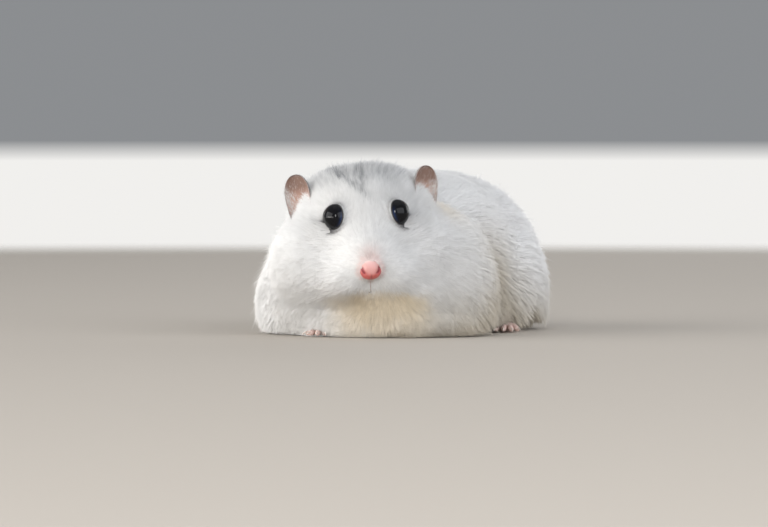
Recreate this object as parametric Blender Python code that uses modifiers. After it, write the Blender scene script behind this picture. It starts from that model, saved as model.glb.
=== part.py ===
"""A winter white dwarf hamster at life size, crouched on its belly with its head turned to its left.

The animal faces -Y, its left side is at +X and the floor is Z = 0. Every solid is given out to the tips of
the coat. The whole body is one soft form, blended from egg shapes, and thin egg-shaped cuts part it into
head, trunk and legs. Ears, eyes, nose, paws and tail have shapes of their own. Named sizes are in
millimetres, and mm() makes them metres.
"""

import math
from collections import namedtuple

import bmesh
import bpy
import numpy as np
from mathutils import Matrix, Vector

SIDES = {"left": 1, "right": -1}
GAP = 0.3

# An egg: its centre, its half-width, half-length and height above the centre, its depth under the centre (the
# same as its height when None), and how boxy it is in plan, above and below, where 2 is an ellipse.
Egg = namedtuple("Egg", ("centre", "half", "below", "power"), defaults=(None, (2.0, 2.0, 2.0)))
LOAF = (2.2, 2.25, 4.4)

# The trunk's eggs, along Y. Most are widest at one low level, because the animal sits on its belly.
WIDEST_LEVEL = 8.0
BELLY_DROP = 9.6
TRUNK_EGGS = {
    "back": Egg((0, 36.0, WIDEST_LEVEL), (22.8, 28.0, 25.2), BELLY_DROP, LOAF),
    "rump": Egg((0, 47.8, WIDEST_LEVEL), (24.0, 18.6, 25.0), BELLY_DROP, LOAF),
    "shoulders": Egg((-1.4, 15.5, WIDEST_LEVEL), (25.4, 16.0, 21.5), BELLY_DROP, LOAF),
    "breast": Egg((0.6, 9.0, WIDEST_LEVEL), (18.0, 12.5, 12.0), BELLY_DROP, LOAF),
    "neck": Egg((0.8, 20.0, 16.0), (13.5, 14.0, 15.8)),
}
HAUNCH = Egg((15.4, 44.0, WIDEST_LEVEL), (10.5, 14.0, 14.5), BELLY_DROP, LOAF)

# The head, in its own frame: X to its left, Y towards the back of the head, Z up from the floor
HEAD_PIVOT = (1.6, 0.0, 22.0)
HEAD_YAW = 24.0
HEAD_ROLL = -4.0
HEAD_EGGS = {
    "cranium": Egg((0, 11.0, 22.0), (14.4, 12.5, 13.1), 12.0, (2.2, 2.6, 2.0)),
    "brow": Egg((0, 3.6, 21.0), (10.6, 10.4, 12.0), 9.0, (2.0, 2.2, 2.0)),
    "muzzle": Egg((0, 0.6, 17.0), (7.8, 10.0, 8.6), 7.0),
    "chin": Egg((0, -0.8, 10.2), (5.0, 5.0, 3.6), 3.2),
    "right_jowl": Egg((-10.6, 13.0, 10.6), (9.4, 12.5, 9.0)),
}
HEAD_PAIRS = {
    "whisker_pad": Egg((4.2, -1.6, 12.6), (6.2, 6.2, 5.6), 4.8),
    "cheek": Egg((8.8, 7.0, 15.0), (11.0, 11.6, 11.4), 10.0, (2.1, 2.0, 2.0)),
    "ear_mound": Egg((9.0, 12.6, 27.0), (5.2, 5.4, 5.9), 5.0),
}
EYE_AT = (5.85, -2.9, 24.6)
EYE_RADIUS = 2.8
NOSE = Egg((-0.4, -7.8, 14.1), (2.1, 1.7, 2.2))

# Ears, each a cupped oval leaf in its own frame: X across, Y out of its hollow, Z from root to tip. Both sway
# a little to the animal's left. A leaf's outline swells by a sine of its height and closes by a power of it.
EAR_ROOT = (12.0, 5.8, 22.0)
EAR_SWAY = 0.3
EAR_HEIGHT = 11.6
EAR_HALF_WIDTH = 3.2
EAR_ROOT_SHARE = 0.5
EAR_WIDEST = 0.55
EAR_TIP_POWER = 2.5
EAR_TIP_LEFT = 0.12
EAR_CUP = 1.6
EAR_CUP_AT_ROOT = 1.5
EAR_CUP_LOSS = 1.1
EAR_SHOULDER_DROP = 0.06
EAR_CURL = 1.25
EAR_WALL = 0.8
EAR_LEAN = 6.0
EAR_TURN = 28.0

# Feet and tail, each foot in its own frame: toes towards -Y, sole on the floor. A fan of toes has a number of
# them, the middle ones' reach, the spread of the fan in degrees, and how far the outer ones stay behind.
Toes = namedtuple("Toes", ("count", "reach", "spread", "stagger"))
TOE_HALF = (0.72, 1.7, 0.75)
FOREPAW_AT = (8.4, 1.8)
FOREPAW_TURN = 6.0
FOREPAW_EGGS = {
    "palm": Egg((0, 0, 1.2), (2.1, 2.5, 1.3), 1.5),
    "wrist": Egg((0, 2.2, 1.5), (2.1, 2.8, 1.7), 1.8),
}
FOREPAW_TOES = Toes(4, 3.3, 33.0, 0.5)
HINDPAW_AT = (21.5, 35.5)
HINDPAW_TURN = 14.0
HINDPAW_EGGS = {
    "sole": Egg((0, 0, 1.3), (2.3, 5.2, 1.5), 1.6),
    "heel": Egg((0, 3.6, 1.8), (2.6, 4.0, 2.2)),
}
HINDPAW_TOES = Toes(5, 5.6, 30.0, 0.9)
TAIL = Egg((0, 65.0, 6.0), (1.9, 5.2, 1.7))

# Where the body is parted: the part inside each egg is that piece, and its neighbours are cut a gap wider.
HEAD_REGION = Egg((0, 1.5, 24.0), (20.5, 17.5, 18.5))
FORELEG_REGION = Egg((12.0, 4.0, 3.0), (7.5, 8.0, 7.0))
HINDLEG_REGION = Egg((20.0, 42.0, 6.0), (13.0, 14.5, 14.0))

# How finely things are meshed: soft forms by voxel, smoothing and share of faces kept, eggs by subdivision
BODY_MESH = {"voxel": 0.9, "smoothing": 22, "kept": 0.049}
PAW_MESH = {"voxel": 0.3, "smoothing": 4, "kept": 0.06}
BIG_EGG_DETAIL = 4
SMALL_EGG_DETAIL = 3
EYE_RINGS = (16, 10)
EAR_GRID = (10, 11)

COLOURS = {
    "coat_white": ((0.86, 0.85, 0.83), 0.9),
    "ear_skin": ((0.55, 0.36, 0.30), 0.7),
    "nose_skin": ((0.80, 0.38, 0.36), 0.45),
    "eye_black": ((0.01, 0.01, 0.012), 0.05),
}


def mm(*sizes):
    """Millimetres as metres: one number, or a Vector of three."""
    metres = [size * 0.001 for size in sizes]
    return metres[0] if len(metres) == 1 else Vector(metres)


def material(name):
    """A plain Principled material in one of the animal's colours."""
    made = bpy.data.materials.get(name)
    if made is None:
        colour, roughness = COLOURS[name]
        made = bpy.data.materials.new(name)
        made.use_nodes = True
        shader = made.node_tree.nodes["Principled BSDF"]
        shader.inputs["Base Color"].default_value = (*colour, 1.0)
        shader.inputs["Roughness"].default_value = roughness
        shader.inputs["Metallic"].default_value = 0.0
    return made


class Workshop:
    """The collections that hold the animal's pieces and the shapes that only cut them."""

    def __init__(self):
        for old in list(bpy.data.objects):
            bpy.data.objects.remove(old)
        self.pieces = self.collection("winter_white_hamster")
        self.cutters = self.collection("cutters")
        self.standing_place = bpy.data.objects.new("standing_place", None)
        self.pieces.objects.link(self.standing_place)

    @staticmethod
    def collection(name):
        made = bpy.data.collections.new(name)
        bpy.context.scene.collection.children.link(made)
        return made

    def piece(self, name, mesh, colour, place=None):
        """A named piece of the animal, whose own frame is carried to its place."""
        made = bpy.data.objects.new(name, mesh)
        self.pieces.objects.link(made)
        made.parent = self.standing_place
        made.matrix_local = Matrix() if place is None else place
        made.data.materials.clear()
        made.data.materials.append(material(colour))
        return made

    def cutter(self, name, mesh, place=None):
        """A shape that isn't part of the animal."""
        made = bpy.data.objects.new(name, mesh)
        self.cutters.objects.link(made)
        made.parent = self.standing_place
        made.matrix_local = Matrix() if place is None else place
        made.hide_render = True
        made.display_type = "WIRE"
        return made

    def grown(self, source, by=GAP):
        """A cutter as large as another object plus a gap all round."""
        made = self.cutter(source.name + "_room", finished_mesh(source), source.matrix_local)
        swell = made.modifiers.new("room", "DISPLACE")
        swell.mid_level = 0.0
        swell.strength = mm(by)
        return made

    def stand_on_floor_centre(self):
        """Moves everything together, so that the origin is on the floor under the middle of the animal."""
        bpy.context.view_layer.update()
        graph = bpy.context.evaluated_depsgraph_get()
        corners = []
        for each in self.pieces.objects:
            if each.type == "MESH":
                done = each.evaluated_get(graph)
                corners += [done.matrix_world @ Vector(corner) for corner in done.bound_box]
        low = np.min(corners, axis=0)
        high = np.max(corners, axis=0)
        self.standing_place.location = (-(low[0] + high[0]) / 2, -(low[1] + high[1]) / 2, 0.0)
        bpy.context.view_layer.update()


def finished_mesh(source):
    """The mesh of an object with its modifiers applied."""
    bpy.context.view_layer.update()
    graph = bpy.context.evaluated_depsgraph_get()
    return bpy.data.meshes.new_from_object(source.evaluated_get(graph), depsgraph=graph)


def carve(piece, operation, *tools):
    """Cuts, keeps or joins: one live Boolean modifier for each tool."""
    for tool in tools:
        cut = piece.modifiers.new(operation.lower() + "_" + tool.name, "BOOLEAN")
        cut.operation = operation
        cut.object = tool
    return piece


def head_place():
    """Carries the head's own frame to its turned and tilted place on the trunk."""
    pivot = mm(*HEAD_PIVOT)
    to_level = Matrix.Translation(Vector((0.0, 0.0, -pivot.z)))
    yaw = Matrix.Rotation(math.radians(HEAD_YAW), 4, "Z")
    roll = Matrix.Rotation(math.radians(HEAD_ROLL), 4, "Y")
    return Matrix.Translation(pivot) @ yaw @ roll @ to_level


def add_egg(shape, egg, turn=0.0, place=None, detail=BIG_EGG_DETAIL):
    """Adds a closed egg to a bmesh, turned about Z by so many degrees."""
    verts = bmesh.ops.create_icosphere(shape, subdivisions=detail, radius=1.0)["verts"]
    points = np.array([vertex.co for vertex in verts])
    plan, above, under = egg.power
    side = (np.abs(points[:, :2]) ** plan).sum(1) ** (1.0 / plan)
    rise = np.where(points[:, 2] < 0, under, above)
    points /= ((side**rise + np.abs(points[:, 2]) ** rise) ** (1.0 / rise))[:, None]
    height = egg.half[2]
    points[:, 2] *= np.where(points[:, 2] < 0, height if egg.below is None else egg.below, height)
    points[:, :2] *= egg.half[:2]
    for vertex, point in zip(verts, points * mm(1.0)):
        vertex.co = point
    where = Matrix.Translation(mm(*egg.centre)) @ Matrix.Rotation(math.radians(turn), 4, "Z")
    bmesh.ops.transform(shape, matrix=where if place is None else place @ where, verts=verts)


def on_side(egg, side):
    """The same egg on the animal's left (1) or right (-1)."""
    return egg._replace(centre=(side * egg.centre[0], *egg.centre[1:]))


def egg_mesh(name, egg, detail=SMALL_EGG_DETAIL):
    """One egg as a mesh of its own."""
    shape = bmesh.new()
    add_egg(shape, egg, detail=detail)
    return mesh_from(name, shape)


def mesh_from(name, shape):
    mesh = bpy.data.meshes.new(name)
    shape.to_mesh(mesh)
    shape.free()
    mesh.shade_smooth()
    return mesh


def blended(name, add_eggs, voxel, smoothing, kept):
    """One closed skin round overlapping eggs, as a mesh: remeshed, smoothed and thinned."""
    shape = bmesh.new()
    add_eggs(shape)
    rough = bpy.data.objects.new(name, mesh_from(name, shape))
    bpy.context.scene.collection.objects.link(rough)
    remesh = rough.modifiers.new("one_skin", "REMESH")
    remesh.mode = "VOXEL"
    remesh.voxel_size = mm(voxel)
    remesh.use_smooth_shade = True
    soften = rough.modifiers.new("soften", "SMOOTH")
    soften.factor = 0.5
    soften.iterations = smoothing
    thin = rough.modifiers.new("thin", "DECIMATE")
    thin.ratio = kept
    made = finished_mesh(rough)
    bpy.data.objects.remove(rough)
    return made


def body_eggs(shape):
    """The trunk and the head together."""
    for egg in TRUNK_EGGS.values():
        add_egg(shape, egg)
    for side in SIDES.values():
        add_egg(shape, on_side(HAUNCH, side))
    place = head_place()
    for egg in HEAD_EGGS.values():
        add_egg(shape, egg, place=place)
    for egg in HEAD_PAIRS.values():
        for side in SIDES.values():
            add_egg(shape, on_side(egg, side), place=place)


def ear_breadth(along):
    """Share of the ear's full width: it swells from the root, then closes in a round tip."""
    if along < EAR_WIDEST:
        return EAR_ROOT_SHARE + (1.0 - EAR_ROOT_SHARE) * math.sin(math.pi / 2.0 * along / EAR_WIDEST)
    into_tip = (along - EAR_WIDEST) / (1.0 - EAR_WIDEST)
    return max((1.0 - into_tip**EAR_TIP_POWER) ** (1.0 / EAR_TIP_POWER), EAR_TIP_LEFT)


def ear(shop, name, side, head_room):
    """A cupped oval leaf with a thick wall, its root cut to the curve of the head."""
    shape = bmesh.new()
    bmesh.ops.create_grid(shape, x_segments=EAR_GRID[0], y_segments=EAR_GRID[1], size=1.0)
    for vertex in shape.verts:
        across = vertex.co.x
        along = (vertex.co.y + 1.0) / 2.0
        half_width = EAR_HALF_WIDTH * ear_breadth(along)
        curl = EAR_CUP * (EAR_CUP_AT_ROOT - EAR_CUP_LOSS * along) * (0.5 - across**2)
        height = EAR_HEIGHT * along * (1.0 - EAR_SHOULDER_DROP * across**2)
        vertex.co = mm(half_width * math.sin(EAR_CURL * across) / math.sin(EAR_CURL), curl, height)
    lean = Matrix.Rotation(math.radians(side * EAR_LEAN), 4, "Y")
    turn = Matrix.Rotation(math.radians(side * EAR_TURN), 4, "Z")
    root = Matrix.Translation(mm(side * EAR_ROOT[0] + EAR_SWAY, *EAR_ROOT[1:]))
    made = shop.piece(name, mesh_from(name, shape), "ear_skin", head_place() @ root @ lean @ turn)
    wall = made.modifiers.new("wall", "SOLIDIFY")
    wall.thickness = mm(EAR_WALL)
    wall.offset = 0.0
    return carve(made, "DIFFERENCE", head_room)


def eye(shop, name, side):
    shape = bmesh.new()
    bmesh.ops.create_uvsphere(shape, u_segments=EYE_RINGS[0], v_segments=EYE_RINGS[1], radius=mm(EYE_RADIUS))
    at = Matrix.Translation(mm(side * EYE_AT[0], *EYE_AT[1:]))
    return shop.piece(name, mesh_from(name, shape), "eye_black", head_place() @ at)


def foot_eggs(shape, eggs, toes):
    """A foot: its own eggs, and a fan of toes ahead of them with the middle ones furthest out."""
    for egg in eggs.values():
        add_egg(shape, egg, detail=SMALL_EGG_DETAIL)
    for turn in np.linspace(-toes.spread, toes.spread, toes.count):
        ahead = toes.reach - toes.stagger * (turn / toes.spread) ** 2
        angle = math.radians(turn)
        toe = Egg((ahead * math.sin(angle), -ahead * math.cos(angle), TOE_HALF[2]), TOE_HALF)
        add_egg(shape, toe, turn, detail=SMALL_EGG_DETAIL)


def forepaw_eggs(shape):
    foot_eggs(shape, FOREPAW_EGGS, FOREPAW_TOES)


def hindpaw_eggs(shape):
    foot_eggs(shape, HINDPAW_EGGS, HINDPAW_TOES)


def paw(shop, name, add_eggs, floor, side, at, turn):
    """A paw as a shape to join to its leg, standing where its leg puts it."""
    turned = Matrix.Rotation(math.radians(side * turn), 4, "Z")
    place = Matrix.Translation(mm(side * at[0], at[1], 0.0)) @ turned
    made = shop.cutter(name, blended(name, add_eggs, **PAW_MESH), place)
    return carve(made, "DIFFERENCE", floor)


def leg(shop, name, whole, region, foot, *rooms):
    """The part of the body inside a region, joined to its paw."""
    made = shop.piece(name, finished_mesh(whole), "coat_white")
    carve(made, "INTERSECT", region)
    carve(made, "DIFFERENCE", *rooms)
    return carve(made, "UNION", foot)


def region(shop, name, egg, detail, grown=0.0, place=None):
    """An egg that marks which part of the body belongs to a piece, a little grown if it cuts room for it."""
    size = tuple(value + grown for value in egg.half)
    return shop.cutter(name, egg_mesh(name, egg._replace(half=size), detail), place)


def add_head(shop, whole, head_only):
    """The head with its eyes and nose, each in a socket a gap wider than itself."""
    nose = shop.piece("nose", egg_mesh("nose", NOSE), "nose_skin", head_place())
    eyes = [eye(shop, "eye_" + name, side) for name, side in SIDES.items()]
    head = shop.piece("head", finished_mesh(whole), "coat_white")
    carve(head, "INTERSECT", head_only)
    carve(head, "DIFFERENCE", shop.grown(nose), *[shop.grown(each) for each in eyes])


def add_legs(shop, whole, floor, trunk, head_room):
    """Four legs with their paws, cut out of the body, and the room for them in the trunk."""
    for name, side in SIDES.items():
        fore_egg = on_side(FORELEG_REGION, side)
        hind_egg = on_side(HINDLEG_REGION, side)
        fore_foot = paw(shop, "forepaw_" + name, forepaw_eggs, floor, side, FOREPAW_AT, FOREPAW_TURN)
        hind_foot = paw(shop, "hindpaw_" + name, hindpaw_eggs, floor, side, HINDPAW_AT, HINDPAW_TURN)
        fore_only = region(shop, "foreleg_region_" + name, fore_egg, SMALL_EGG_DETAIL)
        hind_only = region(shop, "hindleg_region_" + name, hind_egg, SMALL_EGG_DETAIL)
        leg(shop, "foreleg_" + name, whole, fore_only, fore_foot, head_room)
        leg(shop, "hindleg_" + name, whole, hind_only, hind_foot)
        fore_room = region(shop, "foreleg_room_" + name, fore_egg, SMALL_EGG_DETAIL, GAP)
        hind_room = region(shop, "hindleg_room_" + name, hind_egg, SMALL_EGG_DETAIL, GAP)
        carve(trunk, "DIFFERENCE", fore_room, hind_room, shop.grown(fore_foot), shop.grown(hind_foot))


def main():
    shop = Workshop()
    floor_shape = bmesh.new()
    bmesh.ops.create_cube(floor_shape, size=mm(200.0))
    floor = shop.cutter("floor", mesh_from("floor", floor_shape), Matrix.Translation(mm(0.0, 0.0, -100.0)))
    whole = shop.cutter("whole_body", blended("whole_body", body_eggs, **BODY_MESH))
    carve(whole, "DIFFERENCE", floor)
    head_only = region(shop, "head_region", HEAD_REGION, BIG_EGG_DETAIL, 0.0, head_place())
    head_room = region(shop, "head_room", HEAD_REGION, BIG_EGG_DETAIL, GAP, head_place())
    body_room = shop.grown(whole)

    add_head(shop, whole, head_only)
    for name, side in SIDES.items():
        ear(shop, "ear_" + name, side, body_room)
    trunk = shop.piece("trunk", finished_mesh(whole), "coat_white")
    carve(trunk, "DIFFERENCE", head_room)
    add_legs(shop, whole, floor, trunk, head_room)
    carve(shop.piece("tail", egg_mesh("tail", TAIL), "coat_white"), "DIFFERENCE", body_room)
    shop.stand_on_floor_centre()


main()
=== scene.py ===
"""The looks of a winter white dwarf hamster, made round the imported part.

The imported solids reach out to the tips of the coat. Their outer form is welded into one surface, the skin
is that surface drawn in by the depth of the coat, and every tuft grows from the skin out to the outer
form. Lengths in the property groups are metres. Inside the functions points are millimetres, either in
the part's frame or in the head's, whose origin lies midway between the eyes.
"""

import functools
import math

import bmesh
import bpy
import numpy as np
from bpy.props import FloatProperty, FloatVectorProperty
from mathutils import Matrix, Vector


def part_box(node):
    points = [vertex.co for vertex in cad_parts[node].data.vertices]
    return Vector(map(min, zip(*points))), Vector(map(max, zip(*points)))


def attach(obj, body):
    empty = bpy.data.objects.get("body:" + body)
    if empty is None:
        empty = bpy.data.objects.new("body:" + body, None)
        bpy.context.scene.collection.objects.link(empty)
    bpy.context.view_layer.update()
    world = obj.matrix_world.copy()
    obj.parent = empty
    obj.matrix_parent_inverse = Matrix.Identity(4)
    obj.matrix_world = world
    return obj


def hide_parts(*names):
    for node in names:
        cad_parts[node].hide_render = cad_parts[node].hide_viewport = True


bl_info = {
    "name": "Winter White Hamster",
    "version": (1, 0, 0),
    "blender": (4, 5, 0),
    "location": "3D View > Sidebar > Hamster",
    "description": "Grows the skin, coat, ears, eyes, nose, feet and whiskers of a dwarf hamster",
    "category": "Add Mesh",
}

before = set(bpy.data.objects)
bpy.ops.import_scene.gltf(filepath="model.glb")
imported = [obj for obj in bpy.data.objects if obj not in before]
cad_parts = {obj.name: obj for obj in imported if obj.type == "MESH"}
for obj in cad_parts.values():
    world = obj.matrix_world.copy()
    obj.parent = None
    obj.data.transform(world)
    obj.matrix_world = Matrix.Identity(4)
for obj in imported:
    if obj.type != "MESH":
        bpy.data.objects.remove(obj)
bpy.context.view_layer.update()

BODY = "root"
SIDES = {"left": 1.0, "right": -1.0}
LEGS = ("foreleg_left", "foreleg_right", "hindleg_left", "hindleg_right")
FLESH = ("head", "trunk", *LEGS, "tail")
EARS = ("ear_left", "ear_right")
PIGMENT = "pigment"
BAKE_MAP = "OFBake"
MM_PER_M = 1000.0
M_PER_MM = 0.001
UP = np.array((0.0, 0.0, 1.0))


# Small mathematics shared by all pieces


def unit(vectors):
    """Vectors divided by their own length."""
    vectors = np.asarray(vectors, dtype=float)
    return vectors / np.maximum(np.linalg.norm(vectors, axis=-1, keepdims=True), 1e-9)


def apart(points, others=0.0):
    """The distance of each point from a place or from its partner; without others, each row's length."""
    return np.linalg.norm(points - others, axis=1)


def ramp(low, high, values):
    """0 below low, 1 above high, and the smooth cubic 3t^2 - 2t^3 between them."""
    share = np.clip((values - low) / (high - low), 0.0, 1.0)
    return share * share * (3.0 - 2.0 * share)


def hump(centre, width, values):
    """A bell curve, exp(-((value - centre) / width)^2)."""
    return np.exp(-(((values - centre) / width) ** 2))


def bump(angle, centre, width):
    """A bell curve over an angle in radians that closes on itself; centre and width in degrees."""
    off = np.angle(np.exp(1j * (angle - math.radians(centre))))
    return hump(0.0, math.radians(width), off)


def blob(points, centre, radius, stretch=1.0):
    """A bell curve over the distance from a centre, wider by stretch, which may differ by axis."""
    return hump(0.0, radius, apart((points - np.asarray(centre)) / stretch))


def mix(first, second, share):
    """first where share is 0, second where it is 1, in a straight line between; a share for each row."""
    share = np.asarray(share, dtype=float)[..., None]
    return np.asarray(first) * (1.0 - share) + np.asarray(second) * share


def swing(first, second, angle):
    """Unit vectors turned from first towards second, which is square to it, by an angle for each."""
    return first * np.cos(angle)[..., None] + second * np.sin(angle)[..., None]


def waves(points, size, seed):
    """Smooth noise from -1 to 1: the mean of seven sine waves in seeded directions, about size across."""
    chance = np.random.default_rng(seed)
    total = np.zeros(len(points))
    for _ in range(7):
        direction = unit(chance.normal(size=3))
        pitch = size * chance.uniform(0.7, 1.4)
        phase = points @ direction * (2.0 * math.pi / pitch) + chance.uniform(0, 2 * math.pi)
        total += np.sin(phase)
    return np.clip(total / 3.0, -1.0, 1.0)


def across_surface(vectors, normals):
    """Unit vectors left when the part along the normal is taken away."""
    along = (vectors * normals).sum(1, keepdims=True)
    return unit(vectors - along * normals)


def circle(columns):
    """Evenly spaced angles once round, in radians."""
    return np.linspace(0.0, 2.0 * math.pi, columns, endpoint=False)


def option(group):
    """The scene's settings for the coat, face, ear, foot or stage."""
    return getattr(bpy.context.scene, "hamster_" + group)


# The part's landmarks


def node_middle(name):
    """The middle of a node's box, in millimetres."""
    low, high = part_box(name)
    return (np.array(low) + np.array(high)) * (MM_PER_M / 2.0)


class Head:
    """The head's frame: X to the animal's left through both eyes, Y to the back of the head, Z up."""

    def __init__(self):
        left, right = node_middle("eye_left"), node_middle("eye_right")
        across = unit(left - right)
        back = unit(np.cross(UP, across))
        self.axes = np.array((across, back, np.cross(across, back)))
        self.origin = (left + right) / 2.0
        self.eye_reach = float(np.linalg.norm(left - right)) / 2.0
        low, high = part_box("eye_left")
        self.eye_radius = float(np.max(np.array(high) - np.array(low))) * (MM_PER_M / 2.0)
        self.nose = self.inside(node_middle("nose")[None])[0]

    def inside(self, points):
        """Points of the part's frame, in the head's."""
        return (points - self.origin) @ self.axes.T

    def outside(self, points):
        """Points of the head's frame, in the part's."""
        return points @ self.axes + self.origin

    def turned(self, directions):
        """Directions of the head's frame, in the part's."""
        return np.asarray(directions, dtype=float) @ self.axes


HEAD = Head()
EYE_AZIMUTH = math.radians(39.0)
EYE_RISE = math.radians(5.0)
NOSE_TOP, NOSE_WIDEST, NOSE_BOTTOM = 2.6, -0.35, -2.2
MOUTH_LEVEL = -4.9


def eye_frame(side):
    """An eyeball's middle and its axes in the head's frame: out along the gaze, up, and towards the nose."""
    middle = np.array((side * HEAD.eye_reach, 0.0, 0.0))
    level = math.cos(EYE_RISE)
    sideways, ahead = side * math.sin(EYE_AZIMUTH), -math.cos(EYE_AZIMUTH)
    gaze = np.array((sideways * level, ahead * level, math.sin(EYE_RISE)))
    nasal = unit(np.cross(gaze, UP)) * side
    return middle, gaze, unit(np.cross(nasal, gaze)) * side, nasal


def eye_ray(side, round_eye, off_gaze):
    """The direction at an angle round the eye, 0 up and 90 degrees nasal, and at an angle from the gaze."""
    _, gaze, up, nasal = eye_frame(side)
    return swing(gaze, swing(up, nasal, round_eye), off_gaze)


def lid_angle(round_eye):
    """How far the lid's edge lies from the gaze, in radians, at an angle round the eye.

    A round opening drawn up above, towards the nose, and out to a point at the outer lower corner. Above
    and outside, the upper lid droops over the ball.
    """
    angle = 58.5 + 10.0 * bump(round_eye, 20.0, 36.0) + 20.0 * bump(round_eye, 222.0, 24.0)
    return np.radians(angle - 11.0 * bump(round_eye, 312.0, 30.0) - 4.0 * bump(round_eye, 120.0, 40.0))


def past_lid(places, side):
    """Places by an eye: offset from its middle, angle round it, and radians past the lid's line."""
    middle, gaze, up, nasal = eye_frame(side)
    offset = places - middle
    direction = unit(offset)
    round_eye = np.arctan2(direction @ nasal, direction @ up)
    off_gaze = np.arccos(np.clip(direction @ gaze, -1.0, 1.0))
    return offset, round_eye, off_gaze - lid_angle(round_eye)


def eye_distance(places):
    """Distance from the nearer eyeball's middle, and the side that it is on; places in the head's frame."""
    left, right = (apart(places, eye_frame(side)[0]) for side in SIDES.values())
    return np.minimum(left, right), np.where(left < right, 1.0, -1.0)


def from_landmarks(points):
    """Points in the head's frame, how far they are from the nose, and how far from the nearer eyeball."""
    places = HEAD.inside(points)
    from_eye, _ = eye_distance(places)
    return places, apart(places, HEAD.nose), from_eye - HEAD.eye_radius


def nose_breadth(z):
    """Half the nose pad's breadth at a height over its middle: broadest low down, 0 above and below it."""
    upper = z > NOSE_WIDEST
    height = (z - NOSE_WIDEST) / np.where(upper, NOSE_TOP - NOSE_WIDEST, NOSE_BOTTOM - NOSE_WIDEST)
    height = np.clip(height, 0.0, 1.0)
    return 2.15 * np.sqrt(1.0 - height**2.2) * np.where(upper, 1.0 - 0.3 * height, 1.0)


def lip_groove(x, z):
    """How deep in the line of the lips a place lies, from 0 to 1: a slit, a small mouth and two arms."""
    slit = 0.74 * hump(0.0, 0.17, x) * ramp(-1.9, -2.3, z) * ramp(-5.2, -4.8, z)
    mouth = hump(0.0, 0.48, x) * hump(MOUTH_LEVEL, 0.34, z)
    arms = hump(0.0, 0.17, z + 5.0 - 0.25 * np.abs(x) + 0.35 * x**2)
    return np.maximum(np.maximum(slit, mouth), 0.75 * arms * ramp(1.5, 0.9, np.abs(x)))


# Meshes


def fill_in(node, **values):
    """Gives a node's sockets values by name, with _ for a space."""
    for socket, value in values.items():
        node.inputs[socket.replace("_", " ")].default_value = value
    return node


def material(name, roughness, **sockets):
    """A Principled material whose colour is the pigment attribute; sockets holds further values."""
    made = bpy.data.materials.new(name)
    made.use_nodes = True
    tree = made.node_tree
    shader = fill_in(tree.nodes["Principled BSDF"], Roughness=roughness, **sockets)
    pigment = tree.nodes.new("ShaderNodeAttribute")
    pigment.attribute_name = PIGMENT
    tree.links.new(pigment.outputs["Color"], shader.inputs["Base Color"])
    return made


def grain(made, scale, height):
    """Fine unevenness on a material: noise on Object coordinates, as a bump of a real height in metres."""
    tree = made.node_tree
    where = tree.nodes.new("ShaderNodeTexCoord")
    noise = fill_in(tree.nodes.new("ShaderNodeTexNoise"), Scale=scale, Detail=4.0)
    relief = fill_in(tree.nodes.new("ShaderNodeBump"), Strength=0.4, Distance=height)
    tree.links.new(where.outputs["Object"], noise.inputs["Vector"])
    tree.links.new(noise.outputs["Fac"], relief.inputs["Height"])
    tree.links.new(relief.outputs["Normal"], tree.nodes["Principled BSDF"].inputs["Normal"])
    return made


class Surface:
    """Points in millimetres with a colour each, and the triangles and quads between them."""

    def __init__(self):
        self.points, self.colours, self.faces = [], [], []
        self.count = 0

    def add(self, points, colours, *faces):
        """Adds an island; faces are arrays of three or four point numbers each."""
        self.points.append(points)
        self.colours.append(np.broadcast_to(np.asarray(colours, dtype=float), (len(points), 3)))
        self.faces.extend(np.asarray(each) + self.count for each in faces)
        self.count += len(points)

    def mesh(self, name):
        """The islands as one smooth mesh in metres, with a linear colour for each point as its pigment."""
        made = bpy.data.meshes.new(name)
        points = np.concatenate(self.points) * M_PER_MM
        sizes = np.concatenate([np.full(len(each), each.shape[1]) for each in self.faces])
        corners = np.concatenate([each.ravel() for each in self.faces])
        made.vertices.add(len(points))
        made.loops.add(len(corners))
        made.polygons.add(len(sizes))
        made.vertices.foreach_set("co", points.ravel())
        made.loops.foreach_set("vertex_index", corners.astype(np.int32))
        starts = np.concatenate(((0,), np.cumsum(sizes)[:-1]))
        made.polygons.foreach_set("loop_start", starts.astype(np.int32))
        made.polygons.foreach_set("use_smooth", np.ones(len(sizes), dtype=bool))
        made.update(calc_edges=True)
        made.validate()
        colours = np.c_[np.concatenate(self.colours), np.ones(len(points))]
        layer = made.attributes.new(PIGMENT, "FLOAT_COLOR", "POINT")
        layer.data.foreach_set("color", colours.astype(np.float32).ravel())
        return made


def placed(name, data):
    """A new object of the scene, at the origin."""
    made = bpy.data.objects.new(name, data)
    bpy.context.scene.collection.objects.link(made)
    return made


def piece(name, mesh, finish, replaces=()):
    """A finished object that rides on the body."""
    made = placed(name, mesh)
    mesh.materials.append(finish)
    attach(made, BODY)
    if replaces:
        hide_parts(*replaces)


def grid_quads(rows, columns, closed=False):
    """Quads between rings of points: down, round, up and back; a closed grid also joins the last ring."""
    ring = np.arange(columns)
    after = np.roll(ring, -1)
    here = np.arange(rows if closed else rows - 1)[:, None] * columns
    below = (here + columns) % (rows * columns)
    return np.stack((here + ring, below + ring, below + after, here + after), axis=-1).reshape(-1, 4)


def tube_faces(rows, columns, flip=False):
    """Quads of a tube, and the fans that close both its ends, whose two end points come after the rings."""
    ring = np.arange(columns)
    after = np.roll(ring, -1)
    first, last = rows * columns, rows * columns + 1
    top = (rows - 1) * columns
    low = np.stack((ring, after, np.full(columns, first)), axis=-1)
    high = np.stack((top + after, top + ring, np.full(columns, last)), axis=-1)
    faces = grid_quads(rows, columns), np.concatenate((low, high))
    return tuple(each[:, ::-1] for each in faces) if flip else faces


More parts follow.
